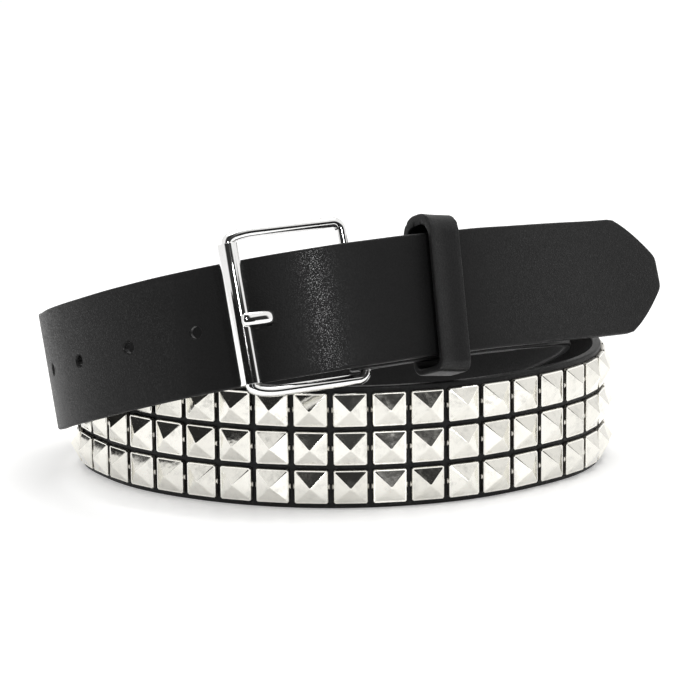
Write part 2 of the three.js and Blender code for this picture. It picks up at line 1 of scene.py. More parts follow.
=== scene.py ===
# %% [markdown]
# # A studded belt, coiled and buckled
#
# The belt is a long leather strap with three rows of pyramid studs, a roller buckle on one end and
# a point on the other. It is fastened at its tip-most hole and lies in two turns on its edge.
# We model each piece flat, as a belt maker would cut and set it, and then bend it along the coil.

# %% Load the fixed frame
import json
import math

import bmesh
import bpy
import numpy as np
from mathutils import Matrix, Vector

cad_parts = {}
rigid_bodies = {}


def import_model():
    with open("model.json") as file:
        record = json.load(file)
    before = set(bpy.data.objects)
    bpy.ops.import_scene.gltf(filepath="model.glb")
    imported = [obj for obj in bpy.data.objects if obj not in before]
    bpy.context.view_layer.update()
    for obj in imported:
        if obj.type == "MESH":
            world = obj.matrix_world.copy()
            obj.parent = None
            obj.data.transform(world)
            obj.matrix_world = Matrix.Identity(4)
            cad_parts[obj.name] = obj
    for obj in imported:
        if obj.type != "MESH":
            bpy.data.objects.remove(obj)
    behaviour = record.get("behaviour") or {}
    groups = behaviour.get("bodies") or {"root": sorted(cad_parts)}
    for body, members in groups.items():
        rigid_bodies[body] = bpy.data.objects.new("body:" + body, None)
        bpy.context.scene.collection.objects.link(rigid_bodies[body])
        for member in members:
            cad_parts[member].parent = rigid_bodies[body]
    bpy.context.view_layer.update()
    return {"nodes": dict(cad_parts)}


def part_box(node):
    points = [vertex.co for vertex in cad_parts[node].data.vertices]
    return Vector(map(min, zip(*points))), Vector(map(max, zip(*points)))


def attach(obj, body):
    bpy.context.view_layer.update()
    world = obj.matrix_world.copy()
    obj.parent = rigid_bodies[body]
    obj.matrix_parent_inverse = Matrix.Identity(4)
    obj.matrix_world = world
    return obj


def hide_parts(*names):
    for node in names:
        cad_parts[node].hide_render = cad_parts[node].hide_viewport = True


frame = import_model()
MM = 0.001
print("CAD nodes:", ", ".join(sorted(frame["nodes"])))

# %% [markdown]
# ## The sizes
#
# Everything is measured in millimetres here and turned into metres when a mesh is placed. These are
# the same sizes as the solid model's, so that each new piece lands where its plain solid is.

# %% Sizes of the belt
STRAP_WIDTH = 38.0
STRAP_THICK = 2.8
COIL_WIDTH = 178.0
COIL_DEPTH = 168.0
TURN_GAP = 10.0
LEAN_LEFT = math.radians(10.0)
LEAN_BACK = math.radians(14.8)
# from the coil's middle to the middle of the whole belt
BOX_SHIFT = np.array((-6.7551, 6.7324, 0.0))

HOLES = 5
HOLE_PITCH = 23.9
HOLE_ROUND = 3.6
TIP_TO_HOLE = 159.0

WIRE = 3.4
RUNNING_GAP = 0.3
REST_GAP = 0.7
HEAD_ROOM = 1.4
END_DROP = 0.6
BAR_SPACING = 37.7
HOLE_TO_ROLLER = 9.2
FOLD_LENGTH = 62.0
FOLD_GAP = 0.3
FOLD_TAPER = 7.0
MEETING = 42.0
print(f"strap: {STRAP_WIDTH:.0f} mm wide and {STRAP_THICK} mm thick")

# %% [markdown]
# ## The way of the coil
#
# A strap bends easily one way only, so its whole shape is told by one curve: where the lower edge
# of its outer face runs. Each row below is one place on that curve, from the pointed tip to the
# buckle, with how high the strap is lifted and how far it leans there. A smooth curve through the
# places gives a route, and the route can be asked for its place and directions at any distance.

# %% The places along the coil
# across and deep are shares of the coil's width and depth, inset counts turn gaps towards the
# middle, lift is a share of the strap's width, and lean runs from 0, upright, to 1.
WAY = np.array([
    (0.63, -0.03, 0, 1.085, 1), (0.517, -0.149, 0, 1.124, 1), (0.44, -0.235, 0, 1.163, 1),
    (0.362, -0.32, 0, 1.197, 1), (0.279, -0.399, 0, 1.224, 1), (0.187, -0.468, 0, 1.229, 1),
    (0.087, -0.522, 0, 1.21, 1), (-0.02, -0.555, 0, 1.16, 1), (-0.131, -0.563, 0, 1.079, 1),
    (-0.238, -0.541, 0, 0.966, 1), (-0.335, -0.491, 0, 0.826, 1), (-0.415, -0.415, 0, 0.671, 1),
    (-0.468, -0.318, 0, 0.529, 1), (-0.494, -0.207, 0, 0.4, 1), (-0.503, -0.093, 0, 0.318, 0.98),
    (-0.494, 0.03, 0, 0.24, 0.88), (-0.446, 0.175, 0, 0.13, 0.65), (-0.322, 0.345, 0, 0.03, 0.38),
    (-0.138, 0.462, 0, 0, 0.14), (0.07, 0.497, 0, 0, 0), (0.28, 0.42, 0, 0, 0),
    (0.437, 0.235, 0, 0, 0), (0.5, -0.01, 0, 0, 0), (0.483, -0.155, 0, 0, 0),
    (0.437, -0.256, 0, 0, 0), (0.361, -0.345, 0, 0, 0), (0.258, -0.431, 0, 0, 0),
    (0.134, -0.485, 0, 0, 0), (0, -0.5, 0, 0, 0), (-0.132, -0.473, 0, 0, 0),
    (-0.252, -0.409, 0, 0, 0), (-0.354, -0.317, 0, 0, 0), (-0.421, -0.21, 0, 0, 0),
    (-0.49, -0.085, 0.5, 0, 0), (-0.494, 0.05, 1, 0, 0), (-0.437, 0.205, 1, 0, 0),
    (-0.315, 0.355, 1, 0, 0), (-0.13, 0.468, 1.05, 0, 0.05), (0.085, 0.495, 1.25, 0.07, 0.2),
    (0.285, 0.415, 1.5, 0.23, 0.45), (0.432, 0.235, 1.4, 0.5, 0.75), (0.492, 0.05, 1.1, 0.78, 0.95),
    (0.495, -0.12, 1, 1.0, 1), (0.44, -0.21, 0.5, 1.08, 1),
])
flat_way = WAY[:, :2] * (COIL_WIDTH, COIL_DEPTH)
toward_middle = flat_way / np.linalg.norm(flat_way, axis=1)[:, None]
flat_way = flat_way - toward_middle * WAY[:, 2:3] * TURN_GAP
coil_stops = np.column_stack([flat_way, WAY[:, 3] * STRAP_WIDTH, WAY[:, 4]])
print("places along the coil:", len(coil_stops))

# %% A route through places
UPRIGHT = np.array((0.0, 0.0, 1.0))
LEANING = np.array((
    -math.sin(LEAN_LEFT) * math.cos(LEAN_BACK),
    math.sin(LEAN_BACK),
    math.cos(LEAN_LEFT) * math.cos(LEAN_BACK),
))


def unit(vectors):
    return vectors / np.linalg.norm(vectors, axis=-1, keepdims=True)


def even_slopes(step, rise):
    """Slopes for even bending along the whole curve."""
    count = len(step) + 1
    weights = np.zeros((count, count))
    right = np.zeros(count)
    weights[0, :2] = 2, 1
    weights[-1, -2:] = 1, 2
    right[0] = 3 * rise[0]
    right[-1] = 3 * rise[-1]
    for i in range(1, count - 1):
        weights[i, i - 1:i + 2] = step[i], 2 * (step[i] + step[i - 1]), step[i - 1]
        right[i] = 3 * (step[i] * rise[i - 1] + step[i - 1] * rise[i])
    return np.linalg.solve(weights, right)


def calm_slopes(rise):
    """Slopes that never swing past the places."""
    slopes = np.concatenate([rise[:1], np.zeros(len(rise) - 1), rise[-1:]])
    before, after = rise[:-1], rise[1:]
    same_way = before * after > 0
    slopes[1:-1][same_way] = (2 * before * after)[same_way] / (before + after)[same_way]
    return slopes


class Route:
    """The strap's outer lower edge as a smooth curve that is measured by its length."""

    def __init__(self, stops, per_stop=24, probe=1.5):
        step = np.linalg.norm(np.diff(stops[:, :3], axis=0), axis=1)
        share = np.arange(per_stop) / per_stop
        turn_over = share ** 2 * (3 - 2 * share)
        start_pull = share * (1 - share) ** 2
        end_pull = share ** 2 * (share - 1)
        columns = []
        for n in range(4):
            values = stops[:, n]
            rise = np.diff(values) / step
            slopes = even_slopes(step, rise) if n < 2 else calm_slopes(rise)
            spans = (
                values[:-1, None] * (1 - turn_over) + values[1:, None] * turn_over
                + step[:, None] * (slopes[:-1, None] * start_pull + slopes[1:, None] * end_pull)
            )
            columns.append(np.append(spans.ravel(), values[-1]))
        self.samples = np.column_stack(columns)
        moves = np.linalg.norm(np.diff(self.samples[:, :3], axis=0), axis=1)
        self.distances = np.concatenate([[0.0], np.cumsum(moves)])
        self.length = self.distances[-1]
        self.probe = probe

    def values(self, distance):
        return np.column_stack([np.interp(distance, self.distances, c) for c in self.samples.T])

    def at(self, distance):
        """Place, along, up and out at each distance."""
        distance = np.atleast_1d(np.asarray(distance, float))
        here = self.values(distance)
        along = unit((self.values(distance + self.probe) - self.values(distance - self.probe))[:, :3])
        lean = here[:, 3:4]
        up = UPRIGHT * (1 - lean) + LEANING * lean
        up = unit(up - along * (up * along).sum(1, keepdims=True))
        return here[:, :3], along, up, np.cross(up, along)


free_end = Route(coil_stops)
bar_at = TIP_TO_HOLE - (BAR_SPACING - HOLE_TO_ROLLER)
roller_at = TIP_TO_HOLE + HOLE_TO_ROLLER
print(f"free end's route: {free_end.length:.1f} mm")

# %% [markdown]
# ## Where the buckle end meets the free end
#
# The buckle end lies behind the free end, wraps round the buckle's bar and is folded back on
# itself. We continue the route behind the free end, add a half circle round the bar, and let the
# fold run back at a small distance. One function then bends anything that was drawn flat.

# %% Bend the buckle end
WRAP_RADIUS = WIRE / 2 + RUNNING_GAP + STRAP_THICK
WRAP_LENGTH = math.pi * WRAP_RADIUS
BAR_DEPTH = STRAP_THICK + REST_GAP + STRAP_THICK + RUNNING_GAP + WIRE / 2


def ease(value, length):
    share = np.clip(value / length, 0, 1)
    return share * share * (3 - 2 * share)


def front_depth(from_bar):
    return STRAP_THICK + REST_GAP + (HEAD_ROOM - REST_GAP) * ease(from_bar, FOLD_TAPER)


def back_depth(from_bar):
    at_bar = 2 * WRAP_RADIUS - STRAP_THICK
    close = STRAP_THICK + FOLD_GAP
    return front_depth(from_bar) + at_bar + (close - at_bar) * ease(from_bar, FOLD_TAPER) + STRAP_THICK


MEETING_STEPS = 6
from_bar = MEETING * np.arange(MEETING_STEPS, -1, -1) / MEETING_STEPS
place, _, up, out = free_end.at(bar_at - from_bar)
meeting = place - out * front_depth(from_bar)[:, None] - up * END_DROP
meeting_stops = np.column_stack([meeting, np.ones(len(meeting))])
main = Route(np.vstack([coil_stops, meeting_stops]))
BAR_PLACE, BAR_ALONG, BAR_UP, BAR_OUT = (v[0] for v in free_end.at(bar_at))
BAR_CENTRE = BAR_PLACE - BAR_OUT * BAR_DEPTH


def directions(distance):
    """Place, along, up and out of the whole strap, with the wrap and the fold after the main part."""
    distance = np.atleast_1d(np.asarray(distance, float))
    place, along, up, out = main.at(np.minimum(distance, main.length))
    turn = np.clip((distance - main.length) / WRAP_LENGTH, 0, 1) * math.pi
    wrapped = distance > main.length
    outward = BAR_OUT * np.cos(turn)[:, None] + BAR_ALONG * np.sin(turn)[:, None]
    round_bar = BAR_CENTRE - BAR_UP * END_DROP + outward * WRAP_RADIUS
    folded = distance > main.length + WRAP_LENGTH
    back = np.maximum(distance - main.length - WRAP_LENGTH, 0)
    free_place, _, free_up, free_out = free_end.at(bar_at - back)
    fold_place = free_place - free_out * back_depth(back)[:, None] - free_up * END_DROP
    place = np.where(wrapped[:, None], round_bar, place)
    out = np.where(wrapped[:, None], outward, out)
    up = np.where(wrapped[:, None], BAR_UP, up)
    place = np.where(folded[:, None], fold_place, place)
    out = np.where(folded[:, None], -free_out, out)
    return place, np.cross(out, up), up, out


def bend(flat):
    """Flat points (distance, height, above the outer face), in mm, to places on the coil in metres."""
    place, _, up, out = directions(flat[:, 0])
    return (place + up * flat[:, 1:2] + out * flat[:, 2:3] + BOX_SHIFT) * MM


FULL_LENGTH = main.length + WRAP_LENGTH + FOLD_LENGTH
print(f"strap: {FULL_LENGTH:.0f} mm of leather, tip to the end of the fold")

# %% [markdown]
# ## Small helpers for working by hand
#
# Operators act on whatever is selected, so every piece starts with nothing selected and picks its
# faces or edges in code, by where they are. Pieces are drawn in millimetres round the origin.

# %% Helpers for selection and modifiers
NEAR = 0.01


def select_only(*objects):
    for o in bpy.context.view_layer.objects:
        o.select_set(False)
    for o in objects:
        o.select_set(True)
    bpy.context.view_layer.objects.active = objects[0] if objects else None


def pick(obj, kind, wanted):
    """Selects, in edit mode, the verts, edges or faces for which wanted(...) is true."""
    bm = bmesh.from_edit_mesh(obj.data)
    bpy.ops.mesh.select_all(action="DESELECT")
    bpy.context.tool_settings.mesh_select_mode = (kind == "verts", kind == "edges", kind == "faces")
    for item in getattr(bm, kind):
        item.select_set(bool(wanted(item)))
    bm.select_flush_mode()
    bmesh.update_edit_mesh(obj.data)


def middle(item):
    """The middle of an edge or a face."""
    if hasattr(item, "calc_center_median"):
        return item.calc_center_median()
    return (item.verts[0].co + item.verts[1].co) / 2


def start(operator, name, **settings):
    """Adds a primitive with nothing else selected, and names it."""
    select_only()
    operator(**settings)
    obj = bpy.context.object
    obj.name = name
    return obj


def into_mesh():
    """Puts the active object's place, turn and size into its mesh."""
    bpy.ops.object.transform_apply(location=True, rotation=True, scale=True)


def lift(height):
    """Extrudes the selected faces upwards."""
    bpy.ops.mesh.extrude_region_move(TRANSFORM_OT_translate={"value": (0, 0, height)})


def widen(share, height=0.0):
    """Scales what is selected about the Z axis."""
    bpy.ops.transform.resize(value=(share, share, 1), center_override=(0, 0, height))


def apply_modifier(obj, kind, **settings):
    modifier = obj.modifiers.new(kind.title(), kind)
    for key, value in settings.items():
        setattr(modifier, key, value)
    select_only(obj)
    bpy.ops.object.modifier_apply(modifier=modifier.name)


def places_of(obj):
    points = np.empty(len(obj.data.vertices) * 3)
    obj.data.vertices.foreach_get("co", points)
    return points.reshape(-1, 3)


def put_places(obj, points):
    obj.data.vertices.foreach_set("co", np.asarray(points, float).ravel())
    obj.data.update()


def settle(obj, smooth_degrees=35):
    """Puts the place into the mesh, so that the object sits at the origin, and smooths it."""
    select_only(obj)
    into_mesh()
    bpy.ops.object.shade_smooth_by_angle(angle=math.radians(smooth_degrees))
    triangles = sum(len(p.vertices) - 2 for p in obj.data.polygons)
    print(f"{obj.name}: {triangles} triangles")
    return obj


print("helpers are ready")


# %% [markdown]
# ## The strap
#
# A belt strap is a long strip with softly rounded edges. We draw one short slice of it, with its
# edges bevelled, and an Array repeats the slice along the whole length. The point is drawn in by
# bringing each row closer to the middle line, as a strap-end punch would cut it.

# %% Draw the flat strap
ROW = 2.0
EDGE_ROUND = 0.75
EDGE_STEPS = 4
CUTS_ACROSS = 7
strap = start(bpy.ops.mesh.primitive_cube_add, "strap_leather", size=1)
strap.scale = (ROW, STRAP_WIDTH, STRAP_THICK)
strap.location = (ROW / 2, STRAP_WIDTH / 2, -STRAP_THICK / 2)
select_only(strap)
into_mesh()
bpy.ops.object.mode_set(mode="EDIT")
pick(strap, "edges", lambda e: abs(e.verts[0].co.x - e.verts[1].co.x) > ROW / 2)
bpy.ops.mesh.bevel(offset=EDGE_ROUND, segments=EDGE_STEPS, affect="EDGES", profile=0.6)
pick(strap, "faces", lambda f: abs(f.normal.x) > 0.9)
bpy.ops.mesh.delete(type="ONLY_FACE")
pick(strap, "edges", lambda e: abs(e.verts[0].co.y - e.verts[1].co.y) > STRAP_WIDTH / 2)
bpy.ops.mesh.subdivide(number_cuts=CUTS_ACROSS)
bpy.ops.object.mode_set(mode="OBJECT")
rows = math.ceil(FULL_LENGTH / ROW)
apply_modifier(
    strap, "ARRAY", count=rows, use_relative_offset=False, use_constant_offset=True,
    constant_offset_displace=(ROW, 0, 0), use_merge_vertices=True, merge_threshold=NEAR,
)
bpy.ops.object.mode_set(mode="EDIT")
for end in (0.0, rows * ROW):
    pick(strap, "edges", lambda e: e.is_boundary and abs(middle(e).x - end) < NEAR)
    bpy.ops.mesh.edge_face_add()
bpy.ops.object.mode_set(mode="OBJECT")
print("flat strap:", len(strap.data.polygons), "faces in", rows, "rows")

# %% [markdown]
# The rows at the tip are moved close together first, so that the rounded nose has enough of them.
# The two sides of the point bulge a little, and the leather is thinned at its very end.

# %% Cut the point
POINT = 18.6
POINT_NOSE = 9.0
POINT_BELLY = 0.16
NOSE_ROUND = 1.7
END_THIN = 0.55
THIN_OVER = 0.9
TIP_ROWS = 22
TIP_STRETCH = TIP_ROWS * ROW
flat = places_of(strap)
row_number = np.rint(flat[:, 0] / ROW)
near_tip = np.clip(row_number / TIP_ROWS, 0, 1)
flat[:, 0] = np.where(
    row_number < TIP_ROWS, TIP_STRETCH * near_tip ** 2,
    TIP_STRETCH + (row_number - TIP_ROWS) / (rows - TIP_ROWS) * (FULL_LENGTH - TIP_STRETCH),
)
share = np.clip(1 - flat[:, 0] / POINT, 0, 1)
inset = (STRAP_WIDTH - POINT_NOSE) / 2 * share - POINT_BELLY * STRAP_WIDTH * share * (1 - share)
nose = np.sqrt(np.clip(1 - np.clip(1 - flat[:, 0] / NOSE_ROUND, 0, 1) ** 2, 0, 1))
half_width = (STRAP_WIDTH / 2 - inset) * (0.5 + 0.5 * nose)
flat[:, 1] = STRAP_WIDTH / 2 + (flat[:, 1] / (STRAP_WIDTH / 2) - 1) * half_width
edge_thin = END_THIN + (1 - END_THIN) * np.sqrt(np.clip(flat[:, 0] / THIN_OVER, 0, 1))
flat[:, 2] = -STRAP_THICK / 2 + (flat[:, 2] + STRAP_THICK / 2) * edge_thin
put_places(strap, flat)
print(f"point: {POINT:.1f} mm long, {POINT_NOSE:.0f} mm wide at its nose")

# %% [markdown]
# The holes are punched with one cutter. It is a pin whose ends flare a little, which leaves the
# soft rim that a real punched hole gets. The four free holes are round. The fastened one is shorter,
# because the prong fills it, and a long slot lets the prong out of the fold.

# %% Punch the holes and the prong's slot
FLARE = 0.5
FLARE_OVER = 0.05
PUNCH_EXTRA = 2
FASTENED_LONG = 3.2
FASTENED_WIDE = 3.8
FASTENED_SHIFT = 1.1
SLOT_WIDE = 3.8
SLOT_REACH = 9.8


def punch(name, distance, long_way, wide, sides=28):
    """An oval pin through the flat strap, flared where it meets the two faces."""
    pin = start(
        bpy.ops.mesh.primitive_cylinder_add, name, vertices=sides, radius=1,
        depth=STRAP_THICK + PUNCH_EXTRA, location=(distance, STRAP_WIDTH / 2, -STRAP_THICK / 2),
    )
    pin.scale = (long_way / 2, wide / 2, 1)
    into_mesh()
    bpy.ops.object.mode_set(mode="EDIT")
    for height in (-STRAP_THICK + FLARE, -FLARE, -STRAP_THICK - FLARE_OVER, FLARE_OVER):
        bpy.ops.mesh.select_all(action="SELECT")
        bpy.ops.mesh.bisect(plane_co=(0, 0, height), plane_no=(0, 0, 1))
    wider = (long_way + 2 * FLARE) / long_way, (wide + 2 * FLARE) / wide, 1
    pick(pin, "verts", lambda v: v.co.z > 0 or v.co.z < -STRAP_THICK)
    bpy.ops.transform.resize(value=wider, center_override=(distance, STRAP_WIDTH / 2, 0))
    bpy.ops.object.mode_set(mode="OBJECT")
    return pin


cutters = [punch("punch_0", TIP_TO_HOLE + FASTENED_SHIFT, FASTENED_LONG, FASTENED_WIDE)]
for i in range(1, HOLES):
    cutters.append(punch(f"punch_{i}", TIP_TO_HOLE + i * HOLE_PITCH, HOLE_ROUND, HOLE_ROUND))
slot_middle = main.length + WRAP_LENGTH / 2
slot_long = WRAP_LENGTH + 2 * SLOT_REACH
slot = start(
    bpy.ops.mesh.primitive_cylinder_add, "slot_punch", vertices=24, radius=SLOT_WIDE / 2,
    depth=STRAP_THICK + PUNCH_EXTRA, location=(slot_middle, STRAP_WIDTH / 2, -STRAP_THICK / 2),
)
into_mesh()
bpy.ops.object.mode_set(mode="EDIT")
for side in (-1, 1):
    pick(slot, "verts", lambda v: (v.co.x - slot_middle) * side > NEAR)
    bpy.ops.transform.translate(value=(side * (slot_long - SLOT_WIDE) / 2, 0, 0))
bpy.ops.object.mode_set(mode="OBJECT")
for cutter in [*cutters, slot]:
    apply_modifier(strap, "BOOLEAN", operation="DIFFERENCE", solver="EXACT", object=cutter)
    bpy.data.objects.remove(cutter)
print("strap with holes:", len(strap.data.polygons), "faces")

# %% [markdown]
# Bending is one step, because every point of the flat strap knows its distance from the tip, its
# height and its depth under the outer face. Afterwards doubles are merged and the normals are made
# to point outwards.

# %% Bend the strap along the coil
def close_and_turn_out(obj, reach=1e-7):
    """Merges doubles and lets every face point outwards."""
    select_only(obj)
    bpy.ops.object.mode_set(mode="EDIT")
    bpy.ops.mesh.select_all(action="SELECT")
    bpy.ops.mesh.remove_doubles(threshold=reach)
    bpy.ops.mesh.select_all(action="SELECT")
    bpy.ops.mesh.normals_make_consistent(inside=False)
    bpy.ops.object.mode_set(mode="OBJECT")


put_places(strap, bend(places_of(strap)))
close_and_turn_out(strap, 2e-6)
settle(strap, 40)
low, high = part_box("strap")
print("strap's solid:", [round(x / MM, 1) for x in (*low, *high)])
reach = places_of(strap) / MM
print("strap's model:", [round(x, 1) for x in (*reach.min(0), *reach.max(0))])

# %% [markdown]
# ## The pyramid studs
#
# A pyramid stud is pressed from thin sheet: a square with a low upright skirt, a narrow flat rim
# and four sloping faces. Two small prongs go through the leather at its sides. We model one, with
# its ridges slightly broken so that they catch the light, and set copies along the strap.

# %% Model one stud
STUD_ROWS = 3
STUD_SIZE = 10.4
STUD_PITCH = 12.0
STUD_SKIRT = 0.9
STUD_PEAK = 2.7
STUD_GAP = 0.4
STUD_CORNER = 0.45
STUD_RIM = 0.32
SKIRT_EDGE = 0.18
SKIRT_TOP = 0.975
PEAK_FLAT = 0.3
FOOT = -STUD_GAP + 0.05
TAB_SIZE = (0.7, 1.5, 0.7)
TAB_OUT = 0.1
TAB_HIGH = 0.05
TAB_BREAK = 0.3
TAB_AT = STUD_SIZE / 2 + TAB_OUT


def above_middle(vertex, height):
    return abs(vertex.co.x) + abs(vertex.co.y) < NEAR and vertex.co.z > height


stud = start(bpy.ops.mesh.primitive_plane_add, "stud", size=STUD_SIZE, location=(0, 0, FOOT))
into_mesh()
bpy.ops.object.mode_set(mode="EDIT")
pick(stud, "verts", lambda v: True)
bpy.ops.mesh.bevel(offset=STUD_CORNER, segments=1, affect="VERTICES")
pick(stud, "faces", lambda f: True)
lift(STUD_SKIRT - FOOT - SKIRT_EDGE)
lift(SKIRT_EDGE)
widen(SKIRT_TOP)
bpy.ops.mesh.inset(thickness=STUD_RIM, depth=0)
bpy.ops.mesh.poke()
pick(stud, "verts", lambda v: above_middle(v, STUD_SKIRT / 2))
bpy.ops.transform.translate(value=(0, 0, STUD_PEAK))
pick(stud, "verts", lambda v: above_middle(v, STUD_SKIRT * 2))
bpy.ops.mesh.bevel(offset=PEAK_FLAT, segments=1, affect="VERTICES")
bpy.ops.object.mode_set(mode="OBJECT")
for side in (-1, 1):
    tab = start(
        bpy.ops.mesh.primitive_cube_add, "tab", size=1, location=(side * TAB_AT, 0, TAB_HIGH),
    )
    tab.scale = TAB_SIZE
    into_mesh()
    bpy.ops.object.mode_set(mode="EDIT")
    pick(tab, "edges", lambda e: (
        abs(e.verts[0].co.z - e.verts[1].co.z) < NEAR
        and middle(e).z > TAB_HIGH and middle(e).x * side > TAB_AT
    ))
    bpy.ops.mesh.bevel(offset=TAB_BREAK, segments=1, affect="EDGES")
    bpy.ops.object.mode_set(mode="OBJECT")
    select_only(stud, tab)
    bpy.ops.object.join()
print("one stud:", len(stud.data.polygons), "faces")

# %% [markdown]
# The columns are set twelve millimetres apart along the outer face, and each stud stays flat while
# the leather bends under it. A small number on each stud lets the finish vary from one to the next,
# and another keeps the height above the leather, which paints shade on the stud's foot.

# %% Set the studs along the strap
STUDS_FROM_TIP = 311.75
STUDS_TO_BAR = 128.0
STUD_TILT = 0.006
random = np.random.default_rng(8)
columns = int((main.length - STUDS_TO_BAR - STUDS_FROM_TIP) // STUD_PITCH)
flat_stud = places_of(stud)
rise = stud.data.attributes.new("rise", "FLOAT", "POINT")
rise.data.foreach_set("value", flat_stud[:, 2].astype(np.float32))
stud.data.attributes.new("share", "FLOAT", "POINT")
set_studs = []
for column in range(columns):
    distance = STUDS_FROM_TIP + (column + 0.5) * STUD_PITCH
    place, along, up, out = (v[0] for v in main.at(distance))
    for row in range(STUD_ROWS):
        height = STRAP_WIDTH / 2 + (row - (STUD_ROWS - 1) / 2) * STUD_PITCH
        tilt = random.normal(0, STUD_TILT, 3)
        level = unit(out + along * tilt[0] + up * tilt[1])
        side = unit(along - level * (along @ level) + up * tilt[2])
        side = unit(side - level * (side @ level))
        upward = np.cross(side, -level)
        foot = place + up * height + out * STUD_GAP
        x, y, z = flat_stud.T[:, :, None]
        one = stud.copy()
        one.data = stud.data.copy()
        bpy.context.scene.collection.objects.link(one)
        put_places(one, (foot + x * side + y * upward + z * level + BOX_SHIFT) * MM)
        one.data.attributes["share"].data.foreach_set(
            "value", np.full(len(flat_stud), random.random(), np.float32)
        )
        set_studs.append(one)
select_only(*set_studs)
bpy.ops.object.join()
studs = bpy.context.object
studs.name = "pyramid_studs"
bpy.data.objects.remove(stud)
close_and_turn_out(studs)
settle(studs, 12)
print("studs:", columns * STUD_ROWS, "in", columns, "columns")

# %% [markdown]
# ## The buckle frame
#
# The frame is a rectangle of round wire with bent corners, long and low at the roller's side. A
# ring of points is laid on that outline, turned into a curve, and the curve's bevel gives the wire.

# %% The buckle's own directions
ROLLER = 6.5
roller_place, _, _, roller_out = (v[0] for v in free_end.at(roller_at))
roller_centre = roller_place + roller_out * (ROLLER / 2 + RUNNING_GAP)
to_roller = roller_centre - BAR_CENTRE
to_roller = to_roller - BAR_UP * (to_roller @ BAR_UP)
SPAN = np.linalg.norm(to_roller)
BUCKLE_ALONG = to_roller / SPAN
BUCKLE_OUT = np.cross(BAR_UP, BUCKLE_ALONG)
BUCKLE_ORIGIN = BAR_CENTRE + BAR_UP * STRAP_WIDTH / 2
FRAME_ABOVE = 6.0
FRAME_BELOW = 1.5
FRAME_HIGH = STRAP_WIDTH / 2 + FRAME_ABOVE + WIRE / 2
FRAME_LOW = -STRAP_WIDTH / 2 - FRAME_BELOW - WIRE / 2


def stand(obj, origin, along, out, up):
    """Moves a piece drawn in its own directions to its place: X along, Y out, Z up."""
    points = places_of(obj)
    put_places(obj, (origin + points @ np.array((along, out, up)) + BOX_SHIFT) * MM)


def stand_in_buckle(obj):
    stand(obj, BUCKLE_ORIGIN, BUCKLE_ALONG, BUCKLE_OUT, BAR_UP)


print(f"bar to roller: {SPAN:.1f} mm")

# %% Bend the frame's wire
CORNER_STEPS = 12
BAR_CORNER = 2.8
LONG_CORNER = 9.0
SHORT_CORNER = 2.6
WIRE_SIDES = 6


def corner_points(x, z, long_way, short_way, start_at):
    turns = np.radians(start_at + 90 * np.arange(CORNER_STEPS + 1) / CORNER_STEPS)
    return [(x + long_way * math.cos(t), 0, z + short_way * math.sin(t)) for t in turns]


outline = [
    *corner_points(SPAN - LONG_CORNER, FRAME_HIGH - SHORT_CORNER, LONG_CORNER, SHORT_CORNER, 0),
    *corner_points(BAR_CORNER, FRAME_HIGH - BAR_CORNER, BAR_CORNER, BAR_CORNER, 90),
    *corner_points(BAR_CORNER, FRAME_LOW + BAR_CORNER, BAR_CORNER, BAR_CORNER, 180),
    *corner_points(SPAN - LONG_CORNER, FRAME_LOW + SHORT_CORNER, LONG_CORNER, SHORT_CORNER, 270),
]
wire = start(bpy.ops.mesh.primitive_circle_add, "buckle_wire", vertices=len(outline), radius=10)
put_places(wire, outline)
select_only(wire)
bpy.ops.object.convert(target="CURVE")
wire.data.bevel_depth = WIRE / 2
wire.data.bevel_resolution = WIRE_SIDES
bpy.ops.object.convert(target="MESH")
wire = bpy.context.object
stand_in_buckle(wire)
close_and_turn_out(wire, 1e-6)
settle(wire, 60)

# %% [markdown]
# ## The roller
#
# The roller is a short tube that turns on the frame's outer bar, so that the strap slides over it
# without wear. It is rolled from sheet, which shows as a fine seam along its back.

# %% Turn the roller
ROLLER_END_GAP = 0.35
ROLLER_TOP = FRAME_HIGH - SHORT_CORNER - ROLLER_END_GAP
ROLLER_BOTTOM = FRAME_LOW + SHORT_CORNER + ROLLER_END_GAP
ROLLER_WALL = ROLLER / 2 - WIRE / 2 - RUNNING_GAP
SEAM_SIDE = 0.1
SEAM_DEEP = 0.14
roller = start(
    bpy.ops.mesh.primitive_cylinder_add, "roller_tube", vertices=72, radius=ROLLER / 2,
    depth=ROLLER_TOP - ROLLER_BOTTOM, end_fill_type="NOTHING",
    location=(SPAN, 0, (ROLLER_TOP + ROLLER_BOTTOM) / 2),
)
into_mesh()
bpy.ops.object.mode_set(mode="EDIT")
pick(roller, "faces", lambda f: middle(f).y < -ROLLER / 2 + 2 * NEAR)
bpy.ops.mesh.inset(thickness=SEAM_SIDE, depth=0, use_boundary=True)
bpy.ops.transform.translate(value=(0, SEAM_DEEP, 0))
bpy.ops.object.mode_set(mode="OBJECT")
apply_modifier(roller, "SOLIDIFY", thickness=ROLLER_WALL, offset=-1)
apply_modifier(
    roller, "BEVEL", width=0.3, segments=3, limit_method="ANGLE", angle_limit=math.radians(70),
)
stand_in_buckle(roller)
close_and_turn_out(roller)
settle(roller, 35)

# %% [markdown]
# ## The prong
#
# The prong is a flat tapered bar. Its eye turns on the frame's hidden bar, it passes behind the
# free end, comes out of the hole and rests on the roller. We extrude one disc along as many times
# as there are sections, lay each section in its place, and round the whole with subdivision.

# %% Forge the prong
PRONG_WIDE = 4.4
PRONG_THICK = 2.4
EYE_WIDE = 3.2
EYE_WALL = 1.5
BORE = WIRE / 2 + RUNNING_GAP
PRONG_SIDES = 12
# how far a round section goes towards a square one, and what subdivision takes off
PRONG_SQUARE = 0.12
PRONG_TRIM = 0.97
